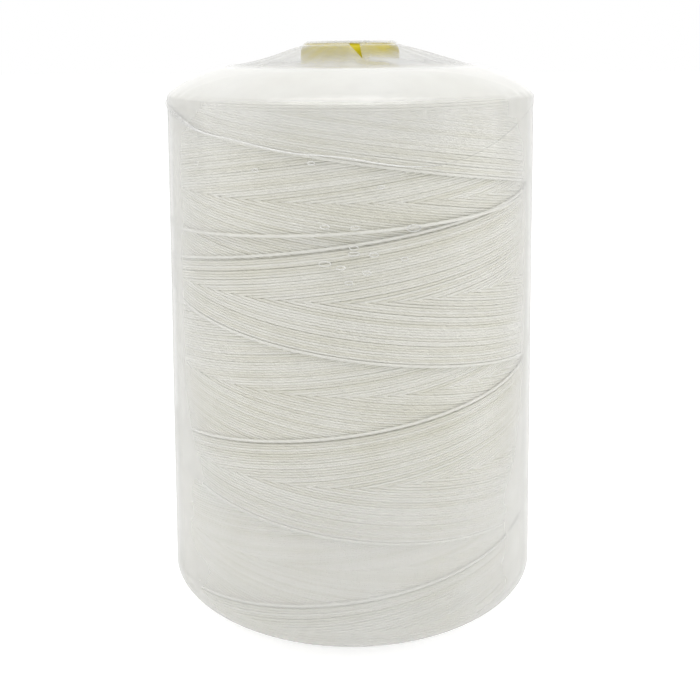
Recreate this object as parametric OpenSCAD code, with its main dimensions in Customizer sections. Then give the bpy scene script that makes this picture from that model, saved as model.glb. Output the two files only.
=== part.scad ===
// Large cross-wound spool of waxed thread on a plastic tube, in a shrunk clear film bag.
// Millimetres. +Z is up along the tube. The origin is under the middle of the tube's foot.

/* [Thread package] */
// Length of the wound side, from the lower shoulder to the upper one
winding_length = 144; // [110:1:190]
// Diameter across the upper shoulder
top_d = 104; // [84:1:140]
// Diameter across the lower shoulder, a little wider
bottom_d = 112; // [88:1:150]
// Height of each rounded end, from its shoulder to its flat
end_rise = 7.7; // [5:0.1:12]
// Radial width of each rounded end
end_width = 17; // [10:0.5:22]
// Roundness of the end's curve, 2 for an ellipse and less for a straighter slope
end_power = 1.35; // [1.2:0.05:2]

/* [Outer layer of turns] */
// Diameter of the thread
thread_d = 0.8; // [0.6:0.1:1.2]
// Radial gap where a turn on its way down crosses over one on its way up
crossing_gap = 0.5; // [0.45:0.05:1]
// Clearance between the lowest turns and the winding under them
lay_gap = 0.1; // [0.05:0.05:0.3]
// Turns in one stroke along the side, less the small step that spreads the strokes
stroke_turns = 3; // [2:1:3]
// Number of strokes, up and down in turn
stroke_count = 8; // [4, 6, 8]
// Distance from each shoulder to the turns' reversals
reversal_inset = 1; // [1:0.5:6]
// Angle from the X axis to where the thread starts its first stroke
start_angle = 21; // [0:1:90]

/* [Tube] */
// Outer diameter of the tube
tube_od = 28.4; // [22:0.2:40]
// Wall of the tube
tube_wall = 2.6; // [2:0.1:4]
// How far the tube reaches above the thread
top_reach = 6.6; // [5:0.1:14]
// How far the tube's foot reaches below the thread
foot_reach = 4; // [1.6:0.1:8]
// Radial width of the upper rim's rounded outer edge
nose_width = 2; // [0.8:0.1:3]
// Height of that rounded edge
nose_rise = 3; // [0.8:0.1:4]
// Rounding of the foot's outer edge and of both inner edges
edge_r = 0.5; // [0.3:0.1:0.8]
// Number of grip grooves round the tube, under the thread
groove_count = 15; // [4:1:24]
// Depth of a grip groove
groove_depth = 0.5; // [0.3:0.1:0.8]
// Width of a grip groove
groove_width = 1.6; // [0.8:0.1:3]
// Width of the slot in the foot that catches the thread's starting end
catch_width = 1.4; // [0.8:0.1:2]
// Height of that slot
catch_height = 6; // [3:0.5:10]
// Depth of that slot in the tube's wall
catch_depth = 1.1; // [0.6:0.1:1.4]
// Clearance between the tube and the thread wound on it
tube_gap = 0.05; // [0.05:0.05:0.2]

/* [Film bag] */
// Thickness of the film as modelled
film_t = 0.3; // [0.2:0.05:0.5]
// Clearance between the film and what it wraps
film_gap = 0.3; // [0.2:0.05:0.6]
// Shape of the tent between the thread and the tube's rim, 1 for straight and more for sagging
tent_curve = 1.3; // [1:0.1:1.6]
// Radial distance from the tube to the edge of the film's opening under the spool
foot_margin = 8; // [4:0.5:14]

/* [Film seam] */
// Diameter of the welded bead
seam_d = 0.9; // [0.6:0.1:1.4]
// Clearance between the bead and the film under it
seam_gap = 0.15; // [0.1:0.05:0.3]
// Distance from the upper shoulder to the bead at the back
seam_drop = 1.6; // [1:0.1:6]
// How much lower the bead hangs where it is lowest
seam_sag = 14.2; // [6:0.2:24]
// Direction in which the bead is lowest, to the right of the front
seam_low_angle = 20; // [0:1:60]
// Angle from the lowest place to where the bead levels out on the right
seam_right_angle = 62; // [45:1:90]
// Angle from the lowest place to where the bead levels out on the left
seam_left_angle = 108; // [80:1:140]

/* [Hidden] */

THREAD_WHITE = [0.93, 0.92, 0.89];
TUBE_YELLOW = [0.93, 0.86, 0.05];
FILM_CLEAR = [0.90, 0.93, 0.95, 0.35];
SEAM_CLEAR = [0.97, 0.98, 0.99];

round_steps = 180;
corner_steps = 12;
tent_steps = 8;
edge_steps = 8;
rings_per_loop = 24;
thread_sides = 6;
seam_rings = 72;
seam_sides = 6;
level_rings = 2;
trimmed_rings = 3;
cut_margin = 1;

tube_r = tube_od / 2;
bore_r = tube_r - tube_wall;
top_r = top_d / 2;
bottom_r = bottom_d / 2;
low_shoulder_z = foot_reach + end_rise;
high_shoulder_z = low_shoulder_z + winding_length;
tube_length = high_shoulder_z + end_rise + top_reach;
rim_land = 0.1;
rim = [min(nose_width, tube_wall - edge_r - rim_land), nose_rise];
film_skin = film_gap + film_t;

// The outer layer: turns that go up lie on the winding, and turns that go down lie over them
ring_angle = 360 / rings_per_loop;
chord_dip = bottom_r * (1 - cos(ring_angle / 2));
level_step = thread_d + crossing_gap;
layer_depth = thread_d + level_step + lay_gap + chord_dip;
stroke_rings = stroke_turns * rings_per_loop - rings_per_loop / stroke_count;
last_ring = stroke_count * stroke_rings - trimmed_rings;

// Radius of the package at a height on its slightly conical side
function side_r(z) = bottom_r + (top_r - bottom_r) * (z - low_shoulder_z) / winding_length;

// Rounded end from its shoulder to its flat, with offsets outwards and along the axis
function end_curve(shoulder_r, shoulder_z, way, out, along) =
    [for (step = [0 : corner_steps]) let (turn = 90 * step / corner_steps)
        [shoulder_r - end_width + (end_width + out) * pow(cos(turn), 2 / end_power),
         shoulder_z + way * (end_rise + along) * pow(sin(turn), 2 / end_power)]];

function reversed(points) = [for (i = [len(points) - 1 : -1 : 0]) points[i]];

// Part of an ellipse round a centre, or of a circle where both its radii are the same
function oval(centre, radii, from, to) =
    [for (step = [0 : edge_steps]) let (turn = from + (to - from) * step / edge_steps)
        centre + [radii[0] * cos(turn), radii[1] * sin(turn)]];
function arc(centre, radius, from, to) = oval(centre, [radius, radius], from, to);

// One face of the film: under the spool, up its side, over the shoulder and up the tent
tent_start_r = top_r - end_width;
tent_start_z = high_shoulder_z + end_rise;
tent_slope = tent_curve * (tube_length - tent_start_z) / (tent_start_r - tube_r);
rim_touch = atan(rim[1] / (rim[0] * tent_slope));
rim_centre = [tube_r - rim[0], tube_length - rim[1]];
function film_face(skin) =
    let (over_rim = oval(rim_centre, rim + [skin, skin], rim_touch, 90),
         touch = over_rim[0],
         start = [tent_start_r, tent_start_z + skin])
    concat(
        [[tube_r + foot_margin, low_shoulder_z - end_rise - skin]],
        reversed(end_curve(bottom_r, low_shoulder_z, -1, skin, skin)),
        end_curve(top_r, high_shoulder_z, 1, skin, skin),
        [for (step = [1 : tent_steps - 1]) let (t = step / tent_steps)
            [start[0] + (touch[0] - start[0]) * t,
             start[1] + (touch[1] - start[1]) * pow(t, tent_curve)]],
        over_rim,
        [[0, tube_length + skin]]);

// Height of the upward and downward strokes at a ring, as a wave between the two reversals
stroke_low_z = low_shoulder_z + reversal_inset;
stroke_length = winding_length - 2 * reversal_inset;
function stroke_share(ring) = (ring % stroke_rings) / stroke_rings;
function going_up(ring) = floor(ring / stroke_rings) % 2 == 0;
function turn_z(ring) =
    stroke_low_z + stroke_length * (going_up(ring) ? stroke_share(ring) : 1 - stroke_share(ring));

// 0 on the way up and 1 on the way down, changing over a few rings after each reversal
function turn_level(ring) =
    let (since = ring % stroke_rings, eased = min(1, since / level_rings))
    ring < stroke_rings ? 0 : going_up(ring) ? 1 - eased : eased;

function turn_centre(ring) =
    let (z = turn_z(ring),
         r = side_r(z) - thread_d / 2 - level_step * (1 - turn_level(ring)),
         turn = start_angle + ring * ring_angle)
    [r * cos(turn), r * sin(turn), z];

turn_path = [for (ring = [0 : last_ring]) turn_centre(ring)];

// The least distance between turns is looked for among rings at least half a loop apart
half_loop = rings_per_loop / 2;
function least_gap(path, width) =
    min([for (i = [0 : len(path) - half_loop - 1])
        min([for (j = [i + half_loop : len(path) - 1]) norm(path[i] - path[j])])]) - width;

// The bead hangs in an uneven swag, level with the shoulder round the back
function seam_hang(turn) =
    let (reach = turn < 0 ? seam_left_angle : seam_right_angle)
    abs(turn) > reach ? 0 : (1 + cos(180 * turn / reach)) / 2;
function seam_centre(step) =
    let (turn = 360 * step / seam_rings - 180,
         z = high_shoulder_z - seam_drop - seam_sag * seam_hang(turn),
         r = side_r(z) + film_skin + seam_gap + seam_d / 2,
         heading = turn + seam_low_angle)
    [r * sin(heading), -r * cos(heading), z];
seam_path = [for (step = [0 : seam_rings - 1]) seam_centre(step)];

function unit(v) = v / norm(v);

// Corners of a tube's ring, square to the path there, with one corner facing out
function ring_corners(path, i, closed, width, sides) =
    let (n = len(path),
         ahead = closed ? path[(i + 1) % n] : path[min(i + 1, n - 1)],
         behind = closed ? path[(i + n - 1) % n] : path[max(i - 1, 0)],
         along = unit(ahead - behind),
         outward = [path[i][0], path[i][1], 0],
         up = unit(outward - (outward * along) * along),
         across = cross(along, up))
    [for (side = [0 : sides - 1]) let (turn = 360 * side / sides)
        path[i] + width / 2 * (cos(turn) * up + sin(turn) * across)];

// One unbroken tube along a path, open with two flat ends or closed on itself
module tube_along(path, width, sides, closed = false) {
    n = len(path);
    spans = closed ? n : n - 1;
    corners = [for (i = [0 : n - 1]) each ring_corners(path, i, closed, width, sides)];
    walls = [for (i = [0 : spans - 1], side = [0 : sides - 1])
        let (next = (side + 1) % sides,
             here = i * sides,
             there = ((i + 1) % n) * sides)
        each [[here + side, there + next, here + next], [here + side, there + side, there + next]]];
    last = (n - 1) * sides;
    ends = closed ? [] : [for (side = [1 : sides - 2])
        each [[0, side, side + 1], [last, last + side + 1, last + side]]];
    polyhedron(corners, concat(walls, ends), convexity = 10);
}

// Plastic tube: straight bore, rounded rims and grip grooves under the thread
module core_tube() {
    groove_pitch = winding_length / groove_count;
    profile = concat(
        arc([bore_r + edge_r, edge_r], edge_r, 180, 270),
        arc([tube_r - edge_r, edge_r], edge_r, 270, 360),
        [for (i = [0 : groove_count - 1]) let (z = low_shoulder_z + (i + 0.5) * groove_pitch)
            each [[tube_r, z - groove_width / 2],
                  [tube_r - groove_depth, z - groove_width / 2 + groove_depth / 2],
                  [tube_r - groove_depth, z + groove_width / 2 - groove_depth / 2],
                  [tube_r, z + groove_width / 2]]],
        oval(rim_centre, rim, 0, 90),
        arc([bore_r + edge_r, tube_length - edge_r], edge_r, 90, 180));
    color(TUBE_YELLOW)
    difference() {
        rotate_extrude($fn = round_steps) polygon(profile);
        translate([tube_r - catch_depth, -catch_width / 2, -cut_margin])
            cube([catch_depth + cut_margin, catch_width, catch_height + cut_margin]);
    }
}

// Inner mass of the wound thread, tight on the tube, with rounded ends
module winding_body() {
    hole_r = tube_r + tube_gap;
    profile = concat(
        [[hole_r, low_shoulder_z - end_rise]],
        reversed(end_curve(bottom_r, low_shoulder_z, -1, -layer_depth, 0)),
        end_curve(top_r, high_shoulder_z, 1, -layer_depth, 0),
        [[hole_r, high_shoulder_z + end_rise]]);
    color(THREAD_WHITE) rotate_extrude($fn = round_steps) polygon(profile);
}

// The last turns, one thread that crosses over itself on its way up and down
module outer_winding() {
    echo(least_gap_between_turns_mm = least_gap(turn_path, thread_d));
    color(THREAD_WHITE) tube_along(turn_path, thread_d, thread_sides);
}

// Clear bag shrunk round the thread, tented up to the tube's rim and closed over it
module shrink_film() {
    profile = concat(film_face(film_skin), reversed(film_face(film_gap)));
    color(FILM_CLEAR) rotate_extrude($fn = round_steps) polygon(profile);
}

// Welded bead where the bag's two webs meet
module film_seam() {
    color(SEAM_CLEAR) tube_along(seam_path, seam_d, seam_sides, closed = true);
}

core_tube();
winding_body();
outer_winding();
shrink_film();
film_seam();
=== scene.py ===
"""Large spool of off-white waxed thread on a yellow tube, in a clear shrunk film bag.

Metres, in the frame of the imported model: +Z is up along the tube, -Y faces the viewer.
A heading is an angle round the spool, 0 at the front and growing to the right. A height on the
side counts from the lower shoulder.
"""

import bmesh
import bpy
import numpy as np
from mathutils import Euler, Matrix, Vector

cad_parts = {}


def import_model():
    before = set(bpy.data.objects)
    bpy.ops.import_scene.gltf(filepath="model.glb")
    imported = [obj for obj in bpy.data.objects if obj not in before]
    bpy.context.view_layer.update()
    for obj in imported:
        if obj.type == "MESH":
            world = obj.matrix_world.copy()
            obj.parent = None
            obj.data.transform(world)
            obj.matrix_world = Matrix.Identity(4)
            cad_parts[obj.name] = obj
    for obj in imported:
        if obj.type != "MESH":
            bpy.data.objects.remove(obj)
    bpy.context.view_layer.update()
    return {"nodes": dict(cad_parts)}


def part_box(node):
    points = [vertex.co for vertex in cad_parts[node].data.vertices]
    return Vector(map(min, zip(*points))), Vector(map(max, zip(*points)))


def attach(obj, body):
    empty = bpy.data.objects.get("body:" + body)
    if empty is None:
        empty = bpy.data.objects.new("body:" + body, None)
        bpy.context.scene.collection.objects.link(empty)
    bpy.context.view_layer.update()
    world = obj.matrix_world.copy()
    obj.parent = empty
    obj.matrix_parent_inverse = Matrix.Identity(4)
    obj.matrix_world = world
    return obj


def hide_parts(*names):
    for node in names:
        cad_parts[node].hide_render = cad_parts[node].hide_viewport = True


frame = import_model()

MM = 0.001
TURN = 2 * np.pi
SEED = 764

# ---------------------------------------------------------------- sizes

SIDE_LENGTH = 144 * MM
TOP_R = 52 * MM
BOTTOM_R = 56 * MM
END_RISE = 7.7 * MM
END_WIDTH = 17 * MM
END_POWER = 1.35
END_STEPS = 40

core_low, core_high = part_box("winding_body")
tube_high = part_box("core_tube")[1]
LOW_SHOULDER = core_low.z + END_RISE
HIGH_SHOULDER = LOW_SHOULDER + SIDE_LENGTH
HIGH_FLAT = core_high.z
FLAT_R = TOP_R - END_WIDTH
TUBE_R = tube_high.x
TUBE_TOP = tube_high.z

# The photograph's view, solved from the spool's outline. Its middle is where the camera's axis
# would meet the picture, and pixels count from the upper left. Angles are in degrees.
PHOTO_PX = 700
FOCAL_PX = 971
CENTRE_X = 351.2
CENTRE_Y = 280
CAMERA_AWAY = 5.53 * TOP_R
CAMERA_UP = 3.10 * TOP_R
CAMERA_TILT = 14.3
CAMERA_ROLL = -0.27
EYE = (0, -CAMERA_AWAY, LOW_SHOULDER + CAMERA_UP)


def smooth(x):
    """0 up to x = 0, 1 from x = 1, and an even curve between."""
    x = np.clip(x, 0, 1)
    return x * x * (3 - 2 * x)


def rise(x, start, width):
    """0 up to the start, and smoothly up to 1 over the width after it."""
    return smooth((x - start) / width)


def fall(x, end, width):
    """Smoothly down from 1 to 0 over the width before the end, and 0 from there."""
    return smooth((end - x) / width)


def bell(x, centre, width):
    """1 at the centre, and nearly 0 from two widths away."""
    return np.exp(-(((x - centre) / width) ** 2))


def mixed(a, b, share):
    """Between a and b: a at a share of 0, b at 1."""
    return a * (1 - share) + share * b


def side_r(z):
    """Radius of the package's slightly conical side at a z of the frame."""
    return BOTTOM_R + (TOP_R - BOTTOM_R) * (z - LOW_SHOULDER) / SIDE_LENGTH


def place(r, heading, z):
    """Points from a radius, a heading in radians and a height."""
    r, heading, z = np.broadcast_arrays(r, heading, z)
    return np.stack([r * np.sin(heading), -r * np.cos(heading), z], axis=-1)


# ---------------------------------------------------------------- meshes


def new_piece(name, points, faces, material):
    """A smooth-shaded piece of the spool from points and quads."""
    mesh = bpy.data.meshes.new(name)
    mesh.vertices.add(len(points))
    mesh.vertices.foreach_set("co", np.ascontiguousarray(points, np.float32).ravel())
    corners = np.asarray(faces, np.int32)
    width = corners.shape[1]
    mesh.loops.add(corners.size)
    mesh.loops.foreach_set("vertex_index", corners.ravel())
    mesh.polygons.add(len(corners))
    mesh.polygons.foreach_set("loop_start", np.arange(0, corners.size, width, dtype=np.int32))
    mesh.polygons.foreach_set("use_smooth", np.ones(len(corners), bool))
    mesh.update(calc_edges=True)
    mesh.validate()
    mesh.materials.append(material)
    piece = bpy.data.objects.new(name, mesh)
    bpy.context.scene.collection.objects.link(piece)
    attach(piece, "root")
    return piece


def add_values(piece, name, values):
    """Give each point of a piece a value that its material can read."""
    layer = piece.data.attributes.new(name, "FLOAT", "POINT")
    layer.data.foreach_set("value", np.ascontiguousarray(values, np.float32))


def grid_faces(rows, columns, closed_rows):
    """Quads between rows of points, where each row is closed on itself."""
    row = np.arange(rows if closed_rows else rows - 1)[:, None]
    column = np.arange(columns)[None]
    below = (row + 1) % rows
    after = (column + 1) % columns
    corners = [
        row * columns + column,
        row * columns + after,
        below * columns + after,
        below * columns + column,
    ]
    return np.stack(corners, axis=-1).reshape(-1, 4)


def unit(v):
    return v / np.linalg.norm(v, axis=-1, keepdims=True)


def tube_rings(path, radius, sides, closed):
    """Rings of points along a path that runs round the spool, and the path's length at each."""
    if closed:
        along = np.roll(path, -1, axis=0) - np.roll(path, 1, axis=0)
    else:
        along = np.gradient(path, axis=0)
    along = unit(along)
    outward = path * np.array([1, 1, 0])
    outward = unit(outward - along * np.sum(outward * along, axis=1, keepdims=True))
    across = np.cross(along, outward)
    turn = (TURN * np.arange(sides) / sides)[None, :, None]
    radius = np.broadcast_to(np.asarray(radius, float), len(path))[:, None, None]
    rings = path[:, None] + radius * (
        np.cos(turn) * outward[:, None] + np.sin(turn) * across[:, None]
    )
    steps = np.linalg.norm(np.diff(path, axis=0), axis=1)
    return rings, np.concatenate([[0], np.cumsum(steps)])


def tube_faces(rings, sides, first, closed):
    """Quads of a tube's wall, and its two ends closed by fans of quads."""
    quads = grid_faces(rings, sides, closed)[:, [0, 3, 2, 1]]
    if not closed:
        last = (rings - 1) * sides
        caps = [[0, k, k + 1, k + 2] for k in range(1, sides - 1, 2)]
        caps = np.array(caps) % sides
        quads = np.concatenate([quads, caps, last + caps[:, ::-1]])
    return quads + first


def tubes(name, paths, radius, sides, material, closed=False, tones=None):
    """One piece of many tubes, with a map of each tube's length and round, and a tone each."""
    points, faces, lengths, rounds, flanks, tone = [], [], [], [], [], []
    round_once = np.arange(sides) / sides
    first = 0
    for k, path in enumerate(paths):
        rings, length = tube_rings(path, radius, sides, closed)
        points.append(rings.reshape(-1, 3))
        faces.append(tube_faces(len(path), sides, first, closed))
        lengths.append(np.repeat(length, sides))
        rounds.append(np.tile(round_once, len(path)))
        flanks.append(np.tile(np.abs(np.sin(TURN * round_once)), len(path)))
        tone.append(np.full(len(path) * sides, MIDDLE_TONE if tones is None else tones[k]))
        first += len(path) * sides
    piece = new_piece(name, np.concatenate(points), np.concatenate(faces), material)
    add_values(piece, "thread_length", np.concatenate(lengths))
    add_values(piece, "thread_round", np.concatenate(rounds))
    add_values(piece, "thread_flank", np.concatenate(flanks))
    add_values(piece, "thread_tone", np.concatenate(tone))
    return piece


def spun(name, profile, columns, material):
    """A closed profile turned round the axis."""
    heading = TURN * np.arange(columns) / columns
    points = place(profile[:, 0][:, None], heading[None], profile[:, 1][:, None])
    quads = grid_faces(len(profile), columns, True)
    return new_piece(name, points.reshape(-1, 3), quads, material)


# ---------------------------------------------------------------- materials


class Nodes:
    """A node tree that starts empty, with short calls for what this scene needs."""

    def __init__(self, tree):
        self.tree = tree
        self.tree.nodes.clear()

    def link(self, a, b):
        self.tree.links.new(a, b)

    def add(self, kind, **settings):
        node = self.tree.nodes.new(kind)
        for key, value in settings.items():
            setattr(node, key, value)
        return node

    def feed(self, socket, value):
        if hasattr(value, "is_output"):
            self.link(value, socket)
        else:
            socket.default_value = value

    def math(self, operation, a, b=0.0):
        node = self.add("ShaderNodeMath", operation=operation)
        self.feed(node.inputs[0], a)
        self.feed(node.inputs[1], b)
        return node.outputs[0]

    def plus(self, a, b):
        return self.math("ADD", a, b)

    def times(self, a, b):
        return self.math("MULTIPLY", a, b)

    def value_of(self, name):
        return self.add("ShaderNodeAttribute", attribute_name=name).outputs["Fac"]

    def noise(self, grain, detail=3, stretch=None):
        """An uneven pattern, about so many grains to the metre."""
        at = self.add("ShaderNodeTexCoord").outputs["Object"]
        if stretch:
            mapping = self.add("ShaderNodeMapping")
            self.link(at, mapping.inputs["Vector"])
            mapping.inputs["Scale"].default_value = stretch
            at = mapping.outputs[0]
        node = self.add("ShaderNodeTexNoise")
        self.link(at, node.inputs["Vector"])
        node.inputs["Scale"].default_value = grain
        node.inputs["Detail"].default_value = detail
        return node.outputs["Fac"]

    def ramp(self, fac, colours, reach=(0, 1)):
        """From the first colour to the second over the reach of a value."""
        node = self.add("ShaderNodeValToRGB")
        self.link(fac, node.inputs[0])
        for element, colour, position in zip(node.color_ramp.elements, colours, reach):
            element.position = position
            element.color = (*colour, 1)
        return node.outputs["Color"]

    def span(self, fac, given, wanted):
        """A value that runs from low to high, put between two others."""
        node = self.add("ShaderNodeMapRange")
        self.link(fac, node.inputs["Value"])
        for name, value in zip(("From Min", "From Max", "To Min", "To Max"), (*given, *wanted)):
            node.inputs[name].default_value = value
        return node.outputs[0]

    def bump(self, height, distance, strength):
        node = self.add("ShaderNodeBump")
        self.link(height, node.inputs["Height"])
        node.inputs["Distance"].default_value = distance
        node.inputs["Strength"].default_value = strength
        return node.outputs[0]

    def shown(self):
        """1 for what the camera sees straight, mirrored or through the film, 0 for light."""
        path = self.add("ShaderNodeLightPath").outputs
        either = self.math("MAXIMUM", path["Is Camera Ray"], path["Is Glossy Ray"])
        return self.math("MAXIMUM", either, path["Is Transmission Ray"])


class Material(Nodes):
    """A material with one Principled shader."""

    def __init__(self, name):
        self.material = bpy.data.materials.new(name)
        self.material.use_nodes = True
        super().__init__(self.material.node_tree)
        self.out = self.add("ShaderNodeOutputMaterial")
        self.shader = self.add("ShaderNodeBsdfPrincipled")
        self.link(self.shader.outputs[0], self.out.inputs["Surface"])

    def set(self, **values):
        for key, value in values.items():
            self.feed(self.shader.inputs[key.replace("_", " ")], value)
        return self.material


# Most of a noise lies between these.
NOISE_REACH = (0.3, 0.7)

# Colours are linear red, green and blue, in pairs for a ramp.
# The thread's tone at random and the painted shade on its flanks both run towards the darker
# colour. The painted highlight of the newest turns runs towards the lighter one.
THREAD_COLOURS = ((0.670, 0.655, 0.552), (0.785, 0.777, 0.719))
TONE_REACH = (0.35, 1.35)
MIDDLE_TONE = 0.5
BLOTCH_GRAIN = 60
BLOTCH_TONE = 0.7
# These set the painted shade on the flanks of each turn, where it faces its neighbours.
FLANK_POWER = 3
FLANK_PAINTED_SHADE = 0.55
PLIES = 3
PLY_TWIST = 2.6 * MM
PLY_TONE = 0.05
FIBRE_GRAIN = 2600
FIBRE_HEIGHT = 0.4
THREAD_RELIEF = 0.012 * MM
THREAD_ROUGH = (0.42, 0.58)


def thread_material():
    """Waxed thread: twisted plies, a soft sheen, flanks darkened by painted shade, and a tone turn
    by turn.
    """
    m = Material("waxed_thread")
    twist = m.times(m.value_of("thread_length"), 1 / PLY_TWIST)
    plies = m.plus(twist, m.value_of("thread_round"))
    wave = m.math("SINE", m.times(plies, PLIES * TURN))
    relief = m.plus(wave, m.times(m.noise(FIBRE_GRAIN, detail=2), FIBRE_HEIGHT))
    tone = m.plus(m.value_of("thread_tone"), m.times(m.noise(BLOTCH_GRAIN), BLOTCH_TONE))
    tone = m.plus(tone, m.times(wave, PLY_TONE))
    # Painted shade: each turn's flanks, which face the neighbouring turns, are darkened as if the
    # gaps between turns were in shade.
    flank = m.math("POWER", m.value_of("thread_flank"), FLANK_POWER)
    tone = m.math("SUBTRACT", tone, m.times(flank, FLANK_PAINTED_SHADE))
    return m.set(
        Base_Color=m.ramp(tone, THREAD_COLOURS, TONE_REACH),
        Roughness=m.span(m.noise(grain=300), NOISE_REACH, THREAD_ROUGH),
        Normal=m.bump(relief, THREAD_RELIEF, strength=0.4),
        Sheen_Weight=0.1,
    )


# The buried thread is coloured darker than the turns above it: painted shade.
BURIED_SHADE_COLOURS = ((0.55, 0.54, 0.49), (0.72, 0.71, 0.66))
BURIED_RELIEF = 0.1 * MM


def buried_material():
    """Thread seen deep between the turns, in level lines, coloured darker than the turns as painted
    shade of the deep gaps.
    """
    m = Material("buried_thread_painted_shade")
    lines = m.noise(grain=300, detail=2, stretch=(0.15, 0.15, 8))
    return m.set(
        Base_Color=m.ramp(lines, BURIED_SHADE_COLOURS, NOISE_REACH),
        Roughness=0.7,
        Normal=m.bump(lines, BURIED_RELIEF, strength=0.5),
    )


YELLOWS = ((0.56, 0.46, 0.003), (0.63, 0.52, 0.006))
YELLOW_ROUGH = (0.36, 0.48)
SKIN_RELIEF = 0.02 * MM


def yellow_material():
    """Moulded yellow plastic: a little mottled, with a fine moulded skin."""
    m = Material("moulded_yellow")
    return m.set(
        Base_Color=m.ramp(m.noise(grain=90), YELLOWS, NOISE_REACH),
        Roughness=m.span(m.noise(grain=500), NOISE_REACH, YELLOW_ROUGH),
        Specular_IOR_Level=0.2,
        Normal=m.bump(m.noise(grain=1500), SKIN_RELIEF, strength=0.4),
    )


# The film's haze grows with the slant of the view: evenly, and steeply near the edge. Its gloss
# goes with the slant where it clings, and stays where it is loose.
# The first colour is the film's milky white. The second, a grey where the film is loose over the
# tube, is painted shade.
FILM_COLOURS_WITH_SHADE = ((0.90, 0.90, 0.89), (0.61, 0.61, 0.595))
FILM_IOR = 1.6
GLANCE_EVEN = 0.05
GLANCE_STEEP = 0.42
GLANCE_POWER = 5
GLANCE_WHERE_LOOSE = 0.4
CLOUD_GRAIN = 60
CLOUD = (0.9, 1.1)
FILM_GLOSS = 0.5
GLOSS_GLANCE = (0.4, 0.75)
GLOSS_LOOSE = (0, 0.4)
FILM_RELIEF = 0.05 * MM


def film_material():
    """Clear shrunk film with a milky haze, and more of it where it is seen edge on."""
    m = Material("shrink_film")
    cloud = m.span(m.noise(CLOUD_GRAIN, detail=4), NOISE_REACH, CLOUD)
    loose = m.value_of("film_loose_and_shade")
    glance = m.add("ShaderNodeLayerWeight").outputs["Facing"]
    steep = m.times(m.math("POWER", glance, GLANCE_POWER), GLANCE_STEEP)
    steep = m.plus(m.times(glance, GLANCE_EVEN), steep)
    edge = m.times(steep, m.span(loose, (0, 1), (1, GLANCE_WHERE_LOOSE)))
    clinging_gloss = m.span(glance, GLOSS_GLANCE, (FILM_GLOSS, 0))
    loose_gloss = m.span(loose, GLOSS_LOOSE, (0, FILM_GLOSS))
    return m.set(
        # Painted shade: the film turns grey where it is loose over the tube.
        Base_Color=m.ramp(loose, FILM_COLOURS_WITH_SHADE),
        Roughness=0.14,
        IOR=FILM_IOR,
        Specular_IOR_Level=m.math("MAXIMUM", clinging_gloss, loose_gloss),
        Alpha=m.plus(m.times(m.value_of("film_alpha"), cloud), edge),
        Normal=m.bump(m.noise(grain=180), FILM_RELIEF, strength=0.35),
    )


BEAD_COLOURS = ((0.50, 0.50, 0.49), (0.95, 0.95, 0.93))
BEAD_COLOUR_REACH = (0.1, 0.6)
BEAD_CLOUD = (0.8, 1.2)
BEAD_RELIEF = 0.03 * MM


def bead_material():
    """Film melted to a clear, glossy bead, whiter where it is hazier."""
    m = Material("welded_film")
    cloud = m.span(m.noise(grain=400), NOISE_REACH, BEAD_CLOUD)
    haze = m.value_of("bead_haze")
    return m.set(
        Base_Color=m.ramp(haze, BEAD_COLOURS, BEAD_COLOUR_REACH),
        Roughness=0.25,
        IOR=FILM_IOR,
        Alpha=m.times(haze, cloud),
        Normal=m.bump(m.noise(grain=900), BEAD_RELIEF, strength=0.4),
    )


THREAD = thread_material()
BURIED = buried_material()
YELLOW = yellow_material()
FILM = film_material()
BEAD = bead_material()

# ---------------------------------------------------------------- thread

# The package is cross-wound: each stroke climbs or falls the side in about three turns, and each
# pair of strokes lies one thread's width beside the pair before it.
STROKES = 70
TURN_RISE = 49 * MM
THREAD_PITCH = TURN_RISE / STROKES
THREAD_R = 0.405 * MM
THREAD_SIDES = 6
STEPS_PER_TURN = 72
REVERSAL_INSET = 0.55 * MM
FIRST_UP_AT_FRONT = 10.5 * MM
STROKE_LOW = REVERSAL_INSET
STROKE_HIGH = SIDE_LENGTH - REVERSAL_INSET
STROKE_TURN = (STROKE_HIGH - STROKE_LOW) / TURN_RISE * TURN
UP_START = (STROKE_LOW - FIRST_UP_AT_FRONT) / TURN_RISE * TURN
DOWN_START = UP_START + STROKE_TURN

# A turn's depth counts in layers from the package's outside, which the newest stands out of.
LAYER = 0.46 * MM
WINDING_SINK = -0.06 * MM
NEWEST_LIFT = 0.38 * MM
NEWEST_GAP = 0.50 * MM
# The newest turns lie on top and get a lighter tone: a painted highlight.
NEWEST_HIGHLIGHT_TONE = 1.0

# The newest strokes lie a little off an even lay: heights on the side, and how much higher the
# turns lie there.
LAY_HEIGHTS = np.array([0, 10.5, 31.4, 59.5, 80.4, 108.5, 129.4, 143.4]) * MM
LAY_SHIFTS = np.array([0, 1.3, -1.1, 0, -0.1, 1.1, 1.1, 0]) * MM

# How much the strokes differ by chance. The shift is a share of the pitch, and the rate is how
# many times a stroke sways up and down in each turn.
SHIFT_SPREAD = 0.04
LIFT_SPREAD = 0.012 * MM
SWAY_SPREAD = 0.03 * MM
SWAY_RATE = 1.7
TONE_SPREAD = 0.25


def up_front(heading):
    """Height on the side of the newest upward stroke, for its first turn."""
    return FIRST_UP_AT_FRONT + TURN_RISE * heading / TURN


def down_front(heading):
    """Height on the side of the newest downward stroke."""
    return STROKE_HIGH - TURN_RISE * (heading - DOWN_START) / TURN


def age_up(heading, z):
    """How many strokes ago the upward turns last passed a place."""
    return np.mod((up_front(heading) - z) / THREAD_PITCH, STROKES)


def age_down(heading, z):
    """How many strokes ago the downward turns last passed a place."""
    return np.mod((z - down_front(heading)) / THREAD_PITCH, STROKES)


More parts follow.
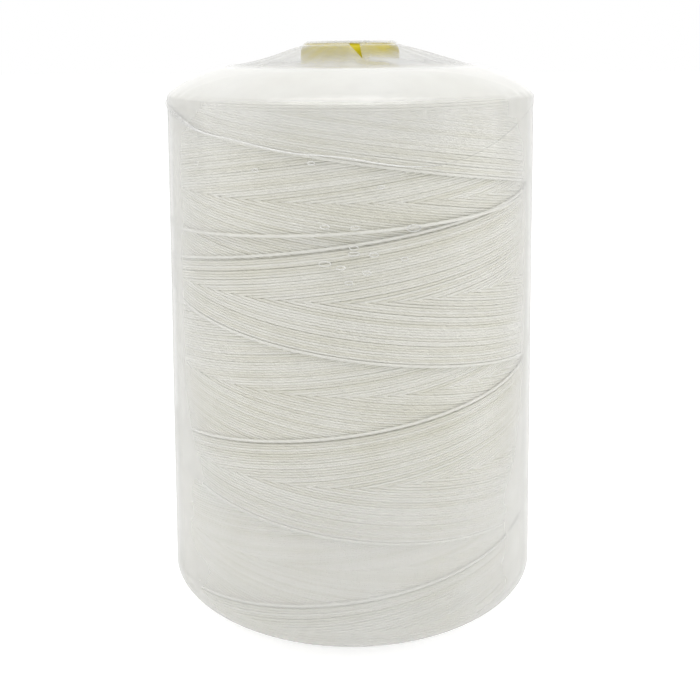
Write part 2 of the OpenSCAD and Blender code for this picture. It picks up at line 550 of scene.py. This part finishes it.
def depth(ups, downs, going_up):
    """How far a turn lies under the package's outside, in layers: older work lies deeper, and
    where the other way's turns are newer it dips under them."""
    over = smooth(ups - downs + 1)
    under = over if going_up else 1 - over
    return (ups + downs) / STROKES + 0.5 + under


def settled(z):
    """Heights of an even lay, moved to where the turns really lie."""
    below = np.clip(np.searchsorted(LAY_HEIGHTS, z, side="right") - 1, 0, len(LAY_HEIGHTS) - 2)
    share = rise(z, LAY_HEIGHTS[below], LAY_HEIGHTS[below + 1] - LAY_HEIGHTS[below])
    return z + LAY_SHIFTS[below] + (LAY_SHIFTS[below + 1] - LAY_SHIFTS[below]) * share


def stroke_path(number, going_up, shift, lift, sway, phase):
    """One stroke of the thread, numbered back from the newest, as a path round the package."""
    rings = int(round(STROKE_TURN / TURN * STEPS_PER_TURN)) + 1
    run = np.linspace(0, STROKE_TURN, rings)
    turned = number * TURN / STROKES
    if going_up:
        heading = UP_START + turned + run
        z = STROKE_LOW + TURN_RISE * run / TURN
        layers = depth(number, age_down(heading, z), True)
    else:
        heading = DOWN_START + turned + run
        z = STROKE_HIGH - TURN_RISE * run / TURN
        layers = depth(age_up(heading, z), number, False)
    z = settled(z) + shift + sway * np.sin(run * SWAY_RATE + phase)
    z = np.clip(z, 0, SIDE_LENGTH) + LOW_SHOULDER
    r = side_r(z) - WINDING_SINK + LAYER * 0.5 - THREAD_R - LAYER * layers + lift
    return place(r, heading, z)


def stroke_family(going_up, seed):
    """All the strokes that go one way."""
    random = np.random.default_rng(seed)
    paths = []
    for number in range(STROKES):
        shift = random.normal(0, SHIFT_SPREAD) * THREAD_PITCH
        lift = random.normal(0, LIFT_SPREAD)
        sway = abs(random.normal(0, SWAY_SPREAD))
        phase = random.uniform(0, TURN)
        if number == 0:
            lift = NEWEST_LIFT
            shift = NEWEST_GAP if going_up else 0.0
        paths.append(stroke_path(number, going_up, shift, lift, sway, phase))
    tones = MIDDLE_TONE + TONE_SPREAD * random.uniform(-1, 1, STROKES)
    # Painted highlight: the newest stroke gets the lighter tone.
    tones[0] = NEWEST_HIGHLIGHT_TONE
    name = "thread_up_strokes" if going_up else "thread_down_strokes"
    return tubes(name, paths, THREAD_R, THREAD_SIDES, THREAD, tones=tones)


def end_curve(shoulder_r, shoulder_z, way, out):
    """Profile of a rounded end from its shoulder to where it goes flat."""
    turn = np.linspace(0, TURN / 4, END_STEPS)
    power = 2 / END_POWER
    r = shoulder_r - END_WIDTH + (END_WIDTH + out) * np.cos(turn).clip(0) ** power
    z = shoulder_z + way * (END_RISE + out) * np.sin(turn).clip(0) ** power
    return np.stack([r, z], axis=1)


def along_profile(profile, step):
    """Points at an even step along a profile."""
    length = np.concatenate([[0], np.cumsum(np.linalg.norm(np.diff(profile, axis=0), axis=1))])
    at = np.linspace(0, length[-1], max(2, int(round(length[-1] / step)) + 1))
    return np.stack([np.interp(at, length, profile[:, k]) for k in (0, 1)], axis=1)


COIL_UNDER_STROKES = 3 * MM
COIL_FROM_TUBE = 1.4 * THREAD_R
COIL_WANDER = 0.08 * MM
COIL_LIFT = 0.03 * MM
COIL_PARTS = 8


def end_coil(name, shoulder_r, shoulder_z, way, seed):
    """The turns that show on a rounded end, from the shoulder in to the tube."""
    random = np.random.default_rng(seed)
    sunk = THREAD_R + WINDING_SINK
    curve = end_curve(shoulder_r, shoulder_z, way, -sunk)
    start = [shoulder_r - sunk - LAYER * 0.5, shoulder_z - way * COIL_UNDER_STROKES]
    at_tube = [TUBE_R + COIL_FROM_TUBE, curve[-1, 1]]
    turns = along_profile(np.concatenate([[start], curve, [at_tube]]), THREAD_PITCH)
    count = (len(turns) - 1) * STEPS_PER_TURN
    at = np.arange(count + 1) / STEPS_PER_TURN
    r = np.interp(at, np.arange(len(turns)), turns[:, 0])
    z = np.interp(at, np.arange(len(turns)), turns[:, 1])
    heading = TURN * at
    knots = random.normal(0, 1, (2, len(turns) + 2))
    wander, lift = (np.interp(at, np.arange(len(turns) + 2), knot) for knot in knots)
    r = r + COIL_WANDER * wander * np.sin(heading * 0.5 + 1)
    z = z + COIL_LIFT * lift
    cuts = np.linspace(0, count, COIL_PARTS + 1).astype(int)
    paths = [
        place(r[a : b + 1], heading[a : b + 1], z[a : b + 1]) for a, b in zip(cuts, cuts[1:])
    ]
    return tubes(name, paths, THREAD_R, THREAD_SIDES, THREAD)


CORE_UNDER_SIDE = 3.4 * LAYER
CORE_UNDER_ENDS = 1.9 * THREAD_R
CORE_FROM_TUBE = 0.05 * MM
CORE_COLUMNS = 144


def package_core():
    """The wound thread under the turns that show."""
    sunk = WINDING_SINK + CORE_UNDER_SIDE
    under = WINDING_SINK + CORE_UNDER_ENDS
    low = end_curve(BOTTOM_R - sunk, LOW_SHOULDER, -1, -under)
    high = end_curve(TOP_R - sunk, HIGH_SHOULDER, 1, -under)
    inner = TUBE_R + CORE_FROM_TUBE
    profile = np.concatenate([[[inner, low[-1, 1]]], low[::-1], high, [[inner, high[-1, 1]]]])
    return spun("package_core", profile, CORE_COLUMNS, BURIED)


# The loose strand's headings are in degrees and its slant is a rise for each degree. Both its
# ends dip under the turns over these angles in radians.
STRAND_FROM = -150
STRAND_TO = 63
STRAND_STEPS = 120
STRAND_AT_FRONT = 113.2 * MM
STRAND_SLANT = 0.063 * MM
STRAND_DIPS = (0.5, 0.4)
STRAND_R = 1.08 * THREAD_R
STRAND_SIDES = 8


def loose_strand():
    """The thread's last length, which lies slantwise over the other turns."""
    heading = np.radians(np.linspace(STRAND_FROM, STRAND_TO, STRAND_STEPS))
    z = STRAND_AT_FRONT + STRAND_SLANT * np.degrees(heading) + LOW_SHOULDER
    ends = rise(heading, heading[0], STRAND_DIPS[0]) * fall(heading, heading[-1], STRAND_DIPS[1])
    lifted = NEWEST_LIFT * ends - LAYER * (1 - ends)
    path = place(side_r(z) - WINDING_SINK - THREAD_R + lifted, heading, z)
    # Painted highlight: the strand gets the newest turns' lighter tone.
    return tubes("loose_strand", [path], STRAND_R, STRAND_SIDES, THREAD, tones=[NEWEST_HIGHLIGHT_TONE])


# ---------------------------------------------------------------- film's shape

FILM_CLEARANCE = 0.50 * MM
FILM_T = 0.05 * MM
FOOT_OPENING_R = TUBE_R + 8 * MM

# The tent reaches from the package's upper flat to the tube's rim, which is rounded by so much
# across and up. The film lies over it at a distance across and up, touches it at an angle in
# degrees, and sags into the mouth behind it.
TENT_CURVE = 1.25
TENT_STEPS = 60
RIM_ROUND = np.array([2, 3]) * MM
RIM_TOUCH = 50
RIM_STEPS = 9
FILM_OVER_RIM = np.array([0.25, 0.6]) * MM
MOUTH_SAG = 0.5 * MM
MOUTH_MIDDLE_R = 0.05 * MM
MOUTH_STEPS = 20

# Steps between the film's points: along each part of its profile, and round it in degrees, finer
# between two headings in front, where the tear and the creases are.
FOOT_STEP = 3.0 * MM
LOW_STEP = 1.0 * MM
SIDE_STEP = 4.0 * MM
HIGH_STEP = 0.8 * MM
TENT_STEP = 0.55 * MM
MOUTH_STEP = 1.2 * MM
FINE_FROM = -24
FINE_TO = 30
FINE_STEP = 0.6
COARSE_COUNT = 190


def film_profile():
    """The film's inner face, from its opening under the spool to the middle of the tube's mouth."""
    low = end_curve(BOTTOM_R, LOW_SHOULDER, -1, FILM_CLEARANCE)[::-1]
    high = end_curve(TOP_R, HIGH_SHOULDER, 1, FILM_CLEARANCE)
    side = np.stack([low[-1], high[0]])
    foot = np.array([[FOOT_OPENING_R, low[0, 1]], low[0]])
    reach = RIM_ROUND + FILM_OVER_RIM
    turn = np.radians(np.linspace(RIM_TOUCH, 90, RIM_STEPS))
    rim_centre = np.array([TUBE_R, TUBE_TOP]) - RIM_ROUND
    over_rim = rim_centre + reach * np.stack([np.cos(turn), np.sin(turn)], axis=1)
    share = np.linspace(0, 1, TENT_STEPS)
    shares = np.stack([share, share**TENT_CURVE], axis=1)
    tent = high[-1] + (over_rim[0] - high[-1]) * shares
    mouth_r = np.linspace(over_rim[-1, 0], MOUTH_MIDDLE_R, MOUTH_STEPS)
    mouth_z = over_rim[-1, 1] - MOUTH_SAG * (1 - (mouth_r / mouth_r[0]) ** 2)
    mouth = np.stack([mouth_r, mouth_z], axis=1)
    parts = [
        along_profile(foot, FOOT_STEP)[:-1],
        along_profile(low, LOW_STEP),
        along_profile(side, SIDE_STEP)[1:-1],
        along_profile(high, HIGH_STEP),
        along_profile(tent, TENT_STEP)[1:],
        over_rim[1:],
        along_profile(mouth, MOUTH_STEP)[1:],
    ]
    return np.concatenate(parts)


def film_headings():
    """Columns round the bag, closer together in front."""
    fine = np.arange(FINE_FROM, FINE_TO, FINE_STEP)
    coarse = np.linspace(FINE_TO, 360 + FINE_FROM, COARSE_COUNT)[:-1]
    return np.radians(np.concatenate([fine, coarse]))


def folds(heading, seed, waves):
    """An uneven ripple round the spool, about 1 high."""
    random = np.random.default_rng(seed)
    ripple = 0
    for n in waves:
        ripple = ripple + random.normal(0, 1) * np.cos(n * heading + random.uniform(0, TURN))
    return ripple / np.sqrt(len(waves))


# Each kind of fold has a seed, and the numbers of waves round the spool that it is made of.
SIDE_FOLDS = (11, (3, 5, 8, 13))
BULGE_FOLDS = (12, (2, 4, 7))
TENT_FOLDS = (13, (5, 9, 14, 22, 31))
STREAK_FOLDS = (17, (11, 19, 31))
PUCKER_FOLDS = (18, (23, 37, 53, 71))

RIPPLE = 0.07 * MM
RIPPLE_ENDS = 6 * MM
RIPPLE_TWIST = 0.25
RIPPLE_TWIST_OVER = 40 * MM
RIPPLE_OVER = 17 * MM


def side_ripple(heading, height):
    """How far the film stands off an even side, where it doesn't cling to every turn."""
    on_side = rise(height, 0, RIPPLE_ENDS) * fall(height, SIDE_LENGTH, RIPPLE_ENDS)
    twisted = heading + RIPPLE_TWIST * np.sin(height / RIPPLE_TWIST_OVER)
    ripple = folds(twisted, *SIDE_FOLDS)
    return RIPPLE * on_side * ripple * np.sin(height / RIPPLE_OVER + heading)


# The film bulges and puckers round the upper shoulder: a middle on the side, a width and a size.
BULGE_BELL = (SIDE_LENGTH - 0.8 * MM, 1.5 * MM)
BULGE = 0.16 * MM
BULGE_UNEVEN = 0.08 * MM
PUCKER_BELL = (SIDE_LENGTH + 0.9 * MM, 0.8 * MM)
PUCKER = 0.10 * MM

# The tent leans to one side, ripples, dips at the left of the rim, and has two creases in front.
TENT_LEAN = 0.45 * MM
TENT_RIPPLE = 0.10 * MM
RIM_DIP = 0.35 * MM
RIM_DIP_BELL = (14 * MM, 2.5 * MM)
CREASES = ((4.0 * MM, 1.0), (5.3 * MM, 0.6))
CREASE_W = 0.3 * MM
CREASE_H = 0.22 * MM
CREASE_RISE = (0.6 * TUBE_R, 4 * MM)
CREASE_FADE = 5


def film_points():
    """Rows and columns of points on the film's inner face."""
    profile = film_profile()
    heading, r = np.meshgrid(film_headings(), profile[:, 0])
    z = np.repeat(profile[:, 1:], heading.shape[1], axis=1)
    height = z - LOW_SHOULDER
    r = r + side_ripple(heading, height)
    r = r + bell(height, *BULGE_BELL) * (BULGE + BULGE_UNEVEN * folds(heading, *BULGE_FOLDS))
    z = z + bell(height, *PUCKER_BELL) * PUCKER * folds(heading, *PUCKER_FOLDS)
    share = np.clip((FLAT_R - r) / (FLAT_R - TUBE_R), 0, 1)
    tented = 4 * share * (1 - share) * (z > HIGH_SHOULDER)
    z = z + tented * (
        TENT_LEAN * np.sin(heading) + TENT_RIPPLE * folds(heading, *TENT_FOLDS)
    )
    left = np.clip(-np.sin(heading), 0, 1) ** 2 * (z > HIGH_SHOULDER)
    z = z - RIM_DIP * left * bell(r, *RIM_DIP_BELL)
    x = r * np.sin(heading)
    front = smooth(2 * np.cos(heading)) * np.clip(share * CREASE_FADE, 0, 1) * (z > HIGH_SHOULDER)
    ridges = sum(size * bell(x, at, CREASE_W) for at, size in CREASES)
    z = z + front * rise(r, *CREASE_RISE) * CREASE_H * ridges
    return place(r, heading, z)


# The bag is torn open over the tube's rim, in a V that points outwards and down. Seen from above,
# in X and Y.
TEAR = np.array([(-0.3, -13.4), (2.6, -13.3), (3.3, -25.0)]) * MM
TEAR_REACH = 11 * MM
CUT_TOLERANCE = 1e-7


def cut_tear(mesh):
    """Cut the V out of the film along its straight edges."""
    work = bmesh.new()
    work.from_mesh(mesh)
    corners = [Vector((x, y, HIGH_FLAT)) for x, y in TEAR]
    edges = list(zip(corners, corners[1:] + corners[:1]))
    middle = sum(corners, Vector()) / 3

    def near(centre):
        return centre.z > HIGH_FLAT and (centre.xy - middle.xy).length < TEAR_REACH

    def torn(face):
        centre = face.calc_center_median()
        turns = [(b - a).cross(centre - a).z for a, b in edges]
        return near(centre) and (max(turns) < 0 or min(turns) > 0)

    for a, b in edges:
        faces = [f for f in work.faces if near(f.calc_center_median())]
        parts = list({part for f in faces for part in (f, *f.edges, *f.verts)})
        across = (b - a).cross(Vector((0, 0, 1)))
        bmesh.ops.bisect_plane(work, geom=parts, plane_co=a, plane_no=across, dist=CUT_TOLERANCE)
    bmesh.ops.delete(work, geom=[f for f in work.faces if torn(f)], context="FACES")
    work.to_mesh(mesh)
    work.free()


# ---------------------------------------------------------------- film's haze

# How milky the bag is, from 0 to 1. Each RISE, FALL and BELL is a place and a width of the curve
# that it names: of the height on the side, of the radius R, or of X or Y.
HAZE_CLING = 0.12
HAZE_LOW = 0.46
LOW_FALL = (62 * MM, 45 * MM)
HAZE_SHOULDER = 0.25
SHOULDER_BELL = (SIDE_LENGTH - 2 * MM, 7 * MM)

# Towards the left and right: the heading in the middle, how far round it goes, and its soft edge.
HAZE_FLANK = 0.33
FLANKS = ((-1.30, 0.85, 0.8), (1.35, 0.65, 0.6))

# The side stays under this, and only the ends are milkier.
HAZE_MOST = 0.43
SHOULDER_VEIL = 0.04
VEIL_RISE = (SIDE_LENGTH - 6.5 * MM, 3.5 * MM)
HAZE_TOP = 0.58
TOP_RISE = (SIDE_LENGTH, 2 * MM)

# The tent is clearer, thicker again towards its edge in front, and has patches there.
HAZE_TENT = 0.29
TENT_FALL_R = (FLAT_R + 1 * MM, 6 * MM)
STREAKS = 0.03
FRONT_FALL_Y = (6 * MM, 14 * MM)
THICKER = 0.55
THICKER_RISE_R = (18 * MM, 15 * MM)
CLEAR_PATCH = 0.24
CLEAR_BELL_X = (9.5 * MM, 4.2 * MM)
CLEAR_BELL_R = (17 * MM, 4.2 * MM)
BAND = 0.26
BAND_SLANT = 0.08
BAND_BELL_Y = (-24.4 * MM, 2.4 * MM)
BAND_RISE_X = (3 * MM, 3 * MM)
UNDER_BAND = 0.3
UNDER_BELL_Y = (-28.8 * MM, 2.2 * MM)
UNDER_BELL_X = (7 * MM, 4.5 * MM)
CORNERS = 0.3
CORNER_BELL_R = (14.5 * MM, 2.5 * MM)
CORNER_RISE_X = (10 * MM, 3.5 * MM)

# Over the rim it is stretched milky, with a line round it, and light in colour, as it has less of
# the tent's looseness and painted shade.
RIM_LINE = 0.25
RIM_LINE_BELL_R = (14.2 * MM, 0.6 * MM)
HAZE_MOUTH = 0.66
MOUTH_FALL_R = (13.5 * MM, 0.6 * MM)
RIM_FALL_R = (14.6 * MM, 0.5 * MM)
RIM_LESS_LOOSE_AND_SHADE = 0.6
HAZE_LEAST = 0.03
HAZE_LIMIT = 0.9


def film_haze(points):
    """How milky the bag is, least where it clings to the middle of the side, and how loose, which
    also sets how much painted shade darkens it.
    """
    x, y, z = points.T
    r = np.hypot(x, y)
    heading = np.arctan2(x, -y)
    height = z - LOW_SHOULDER

    haze = HAZE_CLING + (HAZE_LOW - HAZE_CLING) * fall(height, *LOW_FALL)
    haze = haze + HAZE_SHOULDER * bell(height, *SHOULDER_BELL)
    for middle, reach, edge in FLANKS:
        haze = haze + HAZE_FLANK * fall(np.abs(heading - middle), reach, edge)
    haze = np.minimum(haze, HAZE_MOST)
    haze = haze + SHOULDER_VEIL * rise(height, *VEIL_RISE)
    haze = mixed(haze, HAZE_TOP, rise(height, *TOP_RISE))

    tent = fall(r, *TENT_FALL_R) * (height > SIDE_LENGTH)
    front = tent * fall(y, *FRONT_FALL_Y)
    clear_patch = bell(x, *CLEAR_BELL_X) * bell(r, *CLEAR_BELL_R)
    band = bell(y + BAND_SLANT * x, *BAND_BELL_Y) * rise(x, *BAND_RISE_X)
    under_band = bell(y, *UNDER_BELL_Y) * bell(x, *UNDER_BELL_X)
    corners = bell(r, *CORNER_BELL_R) * rise(np.abs(x), *CORNER_RISE_X)
    patches = THICKER * rise(r, *THICKER_RISE_R) + BAND * band + CORNERS * corners
    patches = patches - CLEAR_PATCH * clear_patch - UNDER_BAND * under_band
    over_tube = HAZE_TENT + STREAKS * folds(heading, *STREAK_FOLDS) + front * patches
    over_tube = over_tube + RIM_LINE * bell(r, *RIM_LINE_BELL_R)
    over_tube = mixed(over_tube, HAZE_MOUTH, fall(r, *MOUTH_FALL_R))

    haze = np.clip(mixed(haze, over_tube, tent), HAZE_LEAST, HAZE_LIMIT)
    # The second value is how loose the film is, which also sets its painted shade.
    return haze, tent * (1 - RIM_LESS_LOOSE_AND_SHADE * fall(r, *RIM_FALL_R))


def film_bag():
    """The shrunk bag, torn over the rim. A view passes its two faces, and each has its share of
    the haze."""
    points = film_points()
    quads = grid_faces(*points.shape[:2], False)
    piece = new_piece("film_bag", points.reshape(-1, 3), quads, FILM)
    cut_tear(piece.data)
    flat = np.empty(len(piece.data.vertices) * 3, np.float32)
    piece.data.vertices.foreach_get("co", flat)
    haze, loose = film_haze(flat.reshape(-1, 3).astype(float))
    add_values(piece, "film_alpha", 1 - np.sqrt(1 - haze))
    add_values(piece, "film_loose_and_shade", loose)
    skin = piece.modifiers.new("skin", "SOLIDIFY")
    skin.thickness = FILM_T
    skin.offset = 1
    return piece


# ---------------------------------------------------------------- seam and pin-holes

# The welded bead hangs from its level at the back to its lowest place, less steeply to the left.
SEAM_DROP = 1.6 * MM
SEAM_SAG = 13.2 * MM
SEAM_LOWEST = np.radians(20)
SEAM_RIGHT = np.radians(62)
SEAM_LEFT = np.radians(108)
SEAM_STEPS = 288

# Two uneven places: how much higher, where from the lowest place, and how wide in radians.
SEAM_UNEVEN = ((-1.5 * MM, np.radians(-68), 0.21), (1.4 * MM, np.radians(-22), 0.21))

# It is thick at the left, thinner in the middle and thinnest at the right. The parts are the
# headings between which it changes.
SEAM_R = (0.62 * MM, 0.17 * MM, 0.13 * MM)
SEAM_HAZE = (0.36, 0.60, 0.14)
SEAM_PARTS = np.radians([-62, -42, 14, 30])
SEAM_STANDS_OUT = 0.35
BEAD_SIDES = 8


def seam_bead():
    """The welded bead, level at the back and hanging in an uneven swag round the front."""
    turn = np.linspace(-np.pi, np.pi, SEAM_STEPS + 1)[:-1]
    reach = np.where(turn < 0, SEAM_LEFT, SEAM_RIGHT)
    hang = np.where(np.abs(turn) > reach, 0, (1 + np.cos(np.pi * turn / reach)) / 2)
    z = HIGH_SHOULDER - SEAM_DROP - SEAM_SAG * hang
    for higher, centre, width in SEAM_UNEVEN:
        z = z + higher * bell(turn, centre, width)
    heading = turn + SEAM_LOWEST
    left = fall(heading, SEAM_PARTS[1], SEAM_PARTS[1] - SEAM_PARTS[0])
    right = rise(heading, SEAM_PARTS[2], SEAM_PARTS[3] - SEAM_PARTS[2])
    shares = np.stack([left, (1 - left) * (1 - right), (1 - left) * right])
    thick = np.dot(SEAM_R, shares)
    r = side_r(z) + FILM_CLEARANCE + FILM_T + thick * SEAM_STANDS_OUT
    path = place(r, heading, z)
    piece = tubes("film_seam_bead", [path], thick, BEAD_SIDES, BEAD, closed=True)
    add_values(piece, "bead_haze", np.repeat(np.dot(SEAM_HAZE, shares), BEAD_SIDES))
    return piece


# The bag's pin-holes have small oval rims of molten film. Each is read from the photograph: its
# middle, its width and its height in pixels.
VENTS_PX = (
    (325, 227, 9, 4),
    (355, 228, 9, 4),
    (414, 228, 15, 7),
    (354, 248, 9, 4),
    (354, 254, 11, 4),
    (374, 255, 9, 4),
    (325, 264, 12, 5),
    (341, 268, 9, 4),
    (367, 273, 9, 4),
    (349, 283, 8, 4),
    (405, 259, 7, 4),
    (255, 170, 7, 3),
    (311, 163, 7, 3),
    (381, 187, 7, 3),
    (197, 163, 7, 3),
)
VENT_RIM_R = 0.12 * MM
VENT_SIDES = 6
VENT_STEPS = 20
VENT_HAZE = 0.62

# A pixel's size on the front of the film, which is nearer than the spool's axis.
PX_ON_FILM = CAMERA_AWAY / FOCAL_PX * 0.82
RAY_ROUNDS = 12


def seen_on_side(px_x, px_y):
    """Heading and height where a pixel of the photograph meets the film's side."""
    eye = np.array(EYE)
    tilt, roll = np.radians(CAMERA_TILT), np.radians(CAMERA_ROLL)
    right = (px_x - CENTRE_X) / FOCAL_PX
    up = (CENTRE_Y - px_y) / FOCAL_PX
    right, up = right * np.cos(roll) - up * np.sin(roll), right * np.sin(roll) + up * np.cos(roll)
    ray = np.array([right, np.cos(tilt) + up * np.sin(tilt), up * np.cos(tilt) - np.sin(tilt)])
    z = LOW_SHOULDER + SIDE_LENGTH / 2
    for _ in range(RAY_ROUNDS):
        r = side_r(z) + FILM_CLEARANCE
        a, b, c = ray[:2] @ ray[:2], eye[:2] @ ray[:2], eye[:2] @ eye[:2] - r * r
        at = eye + ray * (-b - np.sqrt(b * b - a * c)) / a
        z = at[2]
    return np.arctan2(at[0], -at[1]), z


def vent_rims():
    """The oval rims of the bag's pin-holes."""
    turn = TURN * np.arange(VENT_STEPS) / VENT_STEPS
    paths = []
    for px_x, px_y, wide, high in VENTS_PX:
        heading, z = seen_on_side(px_x, px_y)
        heading = heading + wide / 2 * PX_ON_FILM / side_r(z) * np.cos(turn)
        z = z + high / 2 * PX_ON_FILM * np.sin(turn)
        r = side_r(z) + FILM_CLEARANCE + FILM_T + side_ripple(heading, z - LOW_SHOULDER)
        paths.append(place(r, heading, z))
    piece = tubes("film_vent_rims", paths, VENT_RIM_R, VENT_SIDES, BEAD, closed=True)
    add_values(piece, "bead_haze", np.full(len(piece.data.vertices), VENT_HAZE))
    return piece


# ---------------------------------------------------------------- stage

# The floor glows as seen, and the world is white as seen and dimmer as light, so that the ground
# is as white as the photograph's and the spool isn't too bright.
FLOOR_REACH = 4.0
FLOOR_COLOUR = (0.90, 0.90, 0.90, 1)
FLOOR_LIFT = 0.68
WORLD_COLOUR = (1, 1, 1, 1)
WORLD_LIGHT = 0.53
SENSOR_W = 36
NEAREST = 0.01

# Square lamps: where each stands, where it points and its power in watts.
LAMP_SIZE = 1.0
LAMPS = (
    ("overhead", (0.0, -0.2, 1.2), (0, 0, 0.1), 9.8),
    ("left", (-1.2, -0.3, 0.16), (0, 0, 0.06), 4.6),
    ("right", (1.2, -0.3, 0.16), (0, 0, 0.06), 5.3),
)


def floor():
    mesh = bpy.data.meshes.new("floor")
    reach = FLOOR_REACH
    corners = [(-reach, -reach, 0), (reach, -reach, 0), (reach, reach, 0), (-reach, reach, 0)]
    mesh.from_pydata(corners, [], [(0, 1, 2, 3)])
    plane = bpy.data.objects.new("floor", mesh)
    bpy.context.scene.collection.objects.link(plane)
    m = Material("floor")
    m.set(Base_Color=FLOOR_COLOUR, Roughness=0.9, Specular_IOR_Level=0.0)
    glow = m.add("ShaderNodeEmission")
    m.link(m.times(m.shown(), FLOOR_LIFT), glow.inputs["Strength"])
    both = m.add("ShaderNodeAddShader")
    m.link(m.shader.outputs[0], both.inputs[0])
    m.link(glow.outputs[0], both.inputs[1])
    m.link(both.outputs[0], m.out.inputs["Surface"])
    plane.data.materials.append(m.material)


def world():
    studio = bpy.data.worlds.new("studio")
    bpy.context.scene.world = studio
    studio.use_nodes = True
    nodes = Nodes(studio.node_tree)
    light = nodes.add("ShaderNodeBackground")
    light.inputs["Color"].default_value = WORLD_COLOUR
    nodes.link(nodes.span(nodes.shown(), (0, 1), (WORLD_LIGHT, 1)), light.inputs["Strength"])
    nodes.link(light.outputs[0], nodes.add("ShaderNodeOutputWorld").inputs["Surface"])


def lamp(name, stands, aim, power):
    data = bpy.data.lights.new(name, "AREA")
    data.shape = "SQUARE"
    data.size = LAMP_SIZE
    data.energy = power
    light = bpy.data.objects.new(name, data)
    light.location = stands
    direction = Vector(aim) - Vector(stands)
    light.rotation_euler = direction.to_track_quat("-Z", "Y").to_euler()
    bpy.context.scene.collection.objects.link(light)


def camera():
    """The photograph's view: near, a little above the spool's top, and looking down at it."""
    data = bpy.data.cameras.new("camera")
    data.sensor_width = SENSOR_W
    data.lens = SENSOR_W * FOCAL_PX / PHOTO_PX
    data.shift_x = -(CENTRE_X - PHOTO_PX / 2) / PHOTO_PX
    data.shift_y = (CENTRE_Y - PHOTO_PX / 2) / PHOTO_PX
    data.clip_start = NEAREST
    view = bpy.data.objects.new("camera", data)
    view.location = EYE
    view.rotation_euler = Euler((np.radians(90 - CAMERA_TILT), 0, 0))
    view.rotation_euler.rotate_axis("Z", np.radians(CAMERA_ROLL))
    bpy.context.scene.collection.objects.link(view)
    bpy.context.scene.camera = view


def stage():
    camera()
    floor()
    world()
    for name, stands, aim, power in LAMPS:
        lamp(name, stands, aim, power)
    bpy.context.scene.view_settings.view_transform = "Standard"


# ---------------------------------------------------------------- build

stage()

node = frame["nodes"]["core_tube"]
node.data.materials.clear()
node.data.materials.append(YELLOW)
for polygon in node.data.polygons:
    polygon.use_smooth = True

core = package_core()
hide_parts("winding_body")
ups = stroke_family(True, SEED)
downs = stroke_family(False, SEED + 1)
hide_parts("outer_winding")
top_end = end_coil("thread_top_end", TOP_R, HIGH_SHOULDER, 1, SEED + 2)
low_end = end_coil("thread_low_end", BOTTOM_R, LOW_SHOULDER, -1, SEED + 3)
strand = loose_strand()
film = film_bag()
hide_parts("shrink_film")
bead = seam_bead()
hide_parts("film_seam")
vent_rims()
